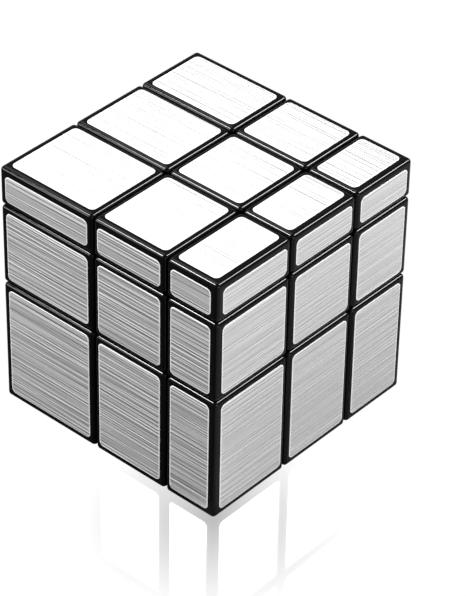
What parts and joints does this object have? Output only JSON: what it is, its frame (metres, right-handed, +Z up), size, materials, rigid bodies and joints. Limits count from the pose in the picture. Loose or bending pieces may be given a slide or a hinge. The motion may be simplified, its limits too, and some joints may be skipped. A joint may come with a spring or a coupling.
{
  "type": "mirror-block twisty puzzle cube",
  "caption": "Palm-sized twisty puzzle cube of black blocks with brushed silver panels, solved by shape because every outer layer has its own thickness; each face turns on a sprung core.",
  "frame": {"origin": "middle of the underside of the solved cube", "axes": "+Z up, through the thinnest layer; -Y out of the front face; +X out of the right-hand face"},
  "size_m": [0.057, 0.057, 0.057],
  "materials": {
    "block_plastic": "glossy black moulded plastic",
    "foot_plastic": "satin black moulded plastic",
    "core_plastic": "satin off-white moulded plastic",
    "screw_steel": "zinc plated",
    "spring_steel": "drawn wire",
    "silver_foil": "brushed silver foil"
  },
  "bodies": {
    "core": {"core": "core_plastic", "centre_screws": "screw_steel", "screw_washers": "screw_steel", "centre_springs": "spring_steel"},
    "centre_up": {"centre_up_cap": "block_plastic", "centre_up_base": "foot_plastic"},
    "centre_down": {"centre_down_cap": "block_plastic", "centre_down_base": "foot_plastic"},
    "centre_front": {"centre_front_cap": "block_plastic", "centre_front_base": "foot_plastic"},
    "centre_back": {"centre_back_cap": "block_plastic", "centre_back_base": "foot_plastic"},
    "centre_left": {"centre_left_cap": "block_plastic", "centre_left_base": "foot_plastic"},
    "centre_right": {"centre_right_cap": "block_plastic", "centre_right_base": "foot_plastic"},
    "edge_front_left": {"edge_front_left_shell": "block_plastic", "edge_front_left_foot": "foot_plastic"},
    "edge_down_left": {"edge_down_left_shell": "block_plastic", "edge_down_left_foot": "foot_plastic"},
    "edge_up_left": {"edge_up_left_shell": "block_plastic", "edge_up_left_foot": "foot_plastic"},
    "edge_back_left": {"edge_back_left_shell": "block_plastic", "edge_back_left_foot": "foot_plastic"},
    "edge_down_front": {"edge_down_front_shell": "block_plastic", "edge_down_front_foot": "foot_plastic"},
    "edge_up_front": {"edge_up_front_shell": "block_plastic", "edge_up_front_foot": "foot_plastic"},
    "edge_down_back": {"edge_down_back_shell": "block_plastic", "edge_down_back_foot": "foot_plastic"},
    "edge_up_back": {"edge_up_back_shell": "block_plastic", "edge_up_back_foot": "foot_plastic"},
    "edge_front_right": {"edge_front_right_shell": "block_plastic", "edge_front_right_foot": "foot_plastic"},
    "edge_down_right": {"edge_down_right_shell": "block_plastic", "edge_down_right_foot": "foot_plastic"},
    "edge_up_right": {"edge_up_right_shell": "block_plastic", "edge_up_right_foot": "foot_plastic"},
    "edge_back_right": {"edge_back_right_shell": "block_plastic", "edge_back_right_foot": "foot_plastic"},
    "corner_down_front_left": {"corner_down_front_left_shell": "block_plastic", "corner_down_front_left_foot": "foot_plastic"},
    "corner_up_front_left": {"corner_up_front_left_shell": "block_plastic", "corner_up_front_left_foot": "foot_plastic"},
    "corner_down_back_left": {"corner_down_back_left_shell": "block_plastic", "corner_down_back_left_foot": "foot_plastic"},
    "corner_up_back_left": {"corner_up_back_left_shell": "block_plastic", "corner_up_back_left_foot": "foot_plastic"},
    "corner_down_front_right": {"corner_down_front_right_shell": "block_plastic", "corner_down_front_right_foot": "foot_plastic"},
    "corner_up_front_right": {"corner_up_front_right_shell": "block_plastic", "corner_up_front_right_foot": "foot_plastic"},
    "corner_down_back_right": {"corner_down_back_right_shell": "block_plastic", "corner_down_back_right_foot": "foot_plastic"},
    "corner_up_back_right": {"corner_up_back_right_shell": "block_plastic", "corner_up_back_right_foot": "foot_plastic"}
  },
  "joints": [
    {"name": "up_turn", "type": "hinge", "parent": "core", "child": "centre_up", "pos_m": [0.006, 0.002, 0.0385], "axis": [0, 0, 1], "continuous": true},
    {"name": "down_turn", "type": "hinge", "parent": "core", "child": "centre_down", "pos_m": [0.006, 0.002, 0.0385], "axis": [0, 0, -1], "continuous": true},
    {"name": "front_turn", "type": "hinge", "parent": "core", "child": "centre_front", "pos_m": [0.006, 0.002, 0.0385], "axis": [0, -1, 0], "continuous": true},
    {"name": "back_turn", "type": "hinge", "parent": "core", "child": "centre_back", "pos_m": [0.006, 0.002, 0.0385], "axis": [0, 1, 0], "continuous": true},
    {"name": "left_turn", "type": "hinge", "parent": "core", "child": "centre_left", "pos_m": [0.006, 0.002, 0.0385], "axis": [-1, 0, 0], "continuous": true},
    {"name": "right_turn", "type": "hinge", "parent": "core", "child": "centre_right", "pos_m": [0.006, 0.002, 0.0385], "axis": [1, 0, 0], "continuous": true},
    {"name": "edge_front_left_swing", "type": "hinge", "parent": "centre_left", "child": "edge_front_left", "pos_m": [0.006, 0.002, 0.0385], "axis": [0, -1, 0], "continuous": true},
    {"name": "edge_down_left_swing", "type": "hinge", "parent": "centre_down", "child": "edge_down_left", "pos_m": [0.006, 0.002, 0.0385], "axis": [-1, 0, 0], "continuous": true},
    {"name": "edge_up_left_swing", "type": "hinge", "parent": "centre_up", "child": "edge_up_left", "pos_m": [0.006, 0.002, 0.0385], "axis": [-1, 0, 0], "continuous": true},
    {"name": "edge_back_left_swing", "type": "hinge", "parent": "centre_left", "child": "edge_back_left", "pos_m": [0.006, 0.002, 0.0385], "axis": [0, 1, 0], "continuous": true},
    {"name": "edge_down_front_swing", "type": "hinge", "parent": "centre_front", "child": "edge_down_front", "pos_m": [0.006, 0.002, 0.0385], "axis": [0, 0, -1], "continuous": true},
    {"name": "edge_up_front_swing", "type": "hinge", "parent": "centre_front", "child": "edge_up_front", "pos_m": [0.006, 0.002, 0.0385], "axis": [0, 0, 1], "continuous": true},
    {"name": "edge_down_back_swing", "type": "hinge", "parent": "centre_back", "child": "edge_down_back", "pos_m": [0.006, 0.002, 0.0385], "axis": [0, 0, -1], "continuous": true},
    {"name": "edge_up_back_swing", "type": "hinge", "parent": "centre_back", "child": "edge_up_back", "pos_m": [0.006, 0.002, 0.0385], "axis": [0, 0, 1], "continuous": true},
    {"name": "edge_front_right_swing", "type": "hinge", "parent": "centre_right", "child": "edge_front_right", "pos_m": [0.006, 0.002, 0.0385], "axis": [0, -1, 0], "continuous": true},
    {"name": "edge_down_right_swing", "type": "hinge", "parent": "centre_down", "child": "edge_down_right", "pos_m": [0.006, 0.002, 0.0385], "axis": [1, 0, 0], "continuous": true},
    {"name": "edge_up_right_swing", "type": "hinge", "parent": "centre_up", "child": "edge_up_right", "pos_m": [0.006, 0.002, 0.0385], "axis": [1, 0, 0], "continuous": true},
    {"name": "edge_back_right_swing", "type": "hinge", "parent": "centre_right", "child": "edge_back_right", "pos_m": [0.006, 0.002, 0.0385], "axis": [0, 1, 0], "continuous": true},
    {"name": "corner_down_front_left_swing", "type": "hinge", "parent": "edge_down_left", "child": "corner_down_front_left", "pos_m": [0.006, 0.002, 0.0385], "axis": [0, -1, 0], "continuous": true},
    {"name": "corner_up_front_left_swing", "type": "hinge", "parent": "edge_up_left", "child": "corner_up_front_left", "pos_m": [0.006, 0.002, 0.0385], "axis": [0, -1, 0], "continuous": true},
    {"name": "corner_down_back_left_swing", "type": "hinge", "parent": "edge_down_left", "child": "corner_down_back_left", "pos_m": [0.006, 0.002, 0.0385], "axis": [0, 1, 0], "continuous": true},
    {"name": "corner_up_back_left_swing", "type": "hinge", "parent": "edge_up_left", "child": "corner_up_back_left", "pos_m": [0.006, 0.002, 0.0385], "axis": [0, 1, 0], "continuous": true},
    {"name": "corner_down_front_right_swing", "type": "hinge", "parent": "edge_down_right", "child": "corner_down_front_right", "pos_m": [0.006, 0.002, 0.0385], "axis": [0, -1, 0], "continuous": true},
    {"name": "corner_up_front_right_swing", "type": "hinge", "parent": "edge_up_right", "child": "corner_up_front_right", "pos_m": [0.006, 0.002, 0.0385], "axis": [0, -1, 0], "continuous": true},
    {"name": "corner_down_back_right_swing", "type": "hinge", "parent": "edge_down_right", "child": "corner_down_back_right", "pos_m": [0.006, 0.002, 0.0385], "axis": [0, 1, 0], "continuous": true},
    {"name": "corner_up_back_right_swing", "type": "hinge", "parent": "edge_up_right", "child": "corner_up_back_right", "pos_m": [0.006, 0.002, 0.0385], "axis": [0, 1, 0], "continuous": true}
  ],
  "couplings": [
    {"joint": "edge_front_left_swing", "follows": "front_turn", "ratio": 1},
    {"joint": "edge_down_left_swing", "follows": "left_turn", "ratio": 1},
    {"joint": "edge_up_left_swing", "follows": "left_turn", "ratio": 1},
    {"joint": "edge_back_left_swing", "follows": "back_turn", "ratio": 1},
    {"joint": "edge_down_front_swing", "follows": "down_turn", "ratio": 1},
    {"joint": "edge_up_front_swing", "follows": "up_turn", "ratio": 1},
    {"joint": "edge_down_back_swing", "follows": "down_turn", "ratio": 1},
    {"joint": "edge_up_back_swing", "follows": "up_turn", "ratio": 1},
    {"joint": "edge_front_right_swing", "follows": "front_turn", "ratio": 1},
    {"joint": "edge_down_right_swing", "follows": "right_turn", "ratio": 1},
    {"joint": "edge_up_right_swing", "follows": "right_turn", "ratio": 1},
    {"joint": "edge_back_right_swing", "follows": "back_turn", "ratio": 1},
    {"joint": "corner_down_front_left_swing", "follows": "front_turn", "ratio": 1},
    {"joint": "corner_up_front_left_swing", "follows": "front_turn", "ratio": 1},
    {"joint": "corner_down_back_left_swing", "follows": "back_turn", "ratio": 1},
    {"joint": "corner_up_back_left_swing", "follows": "back_turn", "ratio": 1},
    {"joint": "corner_down_front_right_swing", "follows": "front_turn", "ratio": 1},
    {"joint": "corner_up_front_right_swing", "follows": "front_turn", "ratio": 1},
    {"joint": "corner_down_back_right_swing", "follows": "back_turn", "ratio": 1},
    {"joint": "corner_up_back_right_swing", "follows": "back_turn", "ratio": 1}
  ]
}
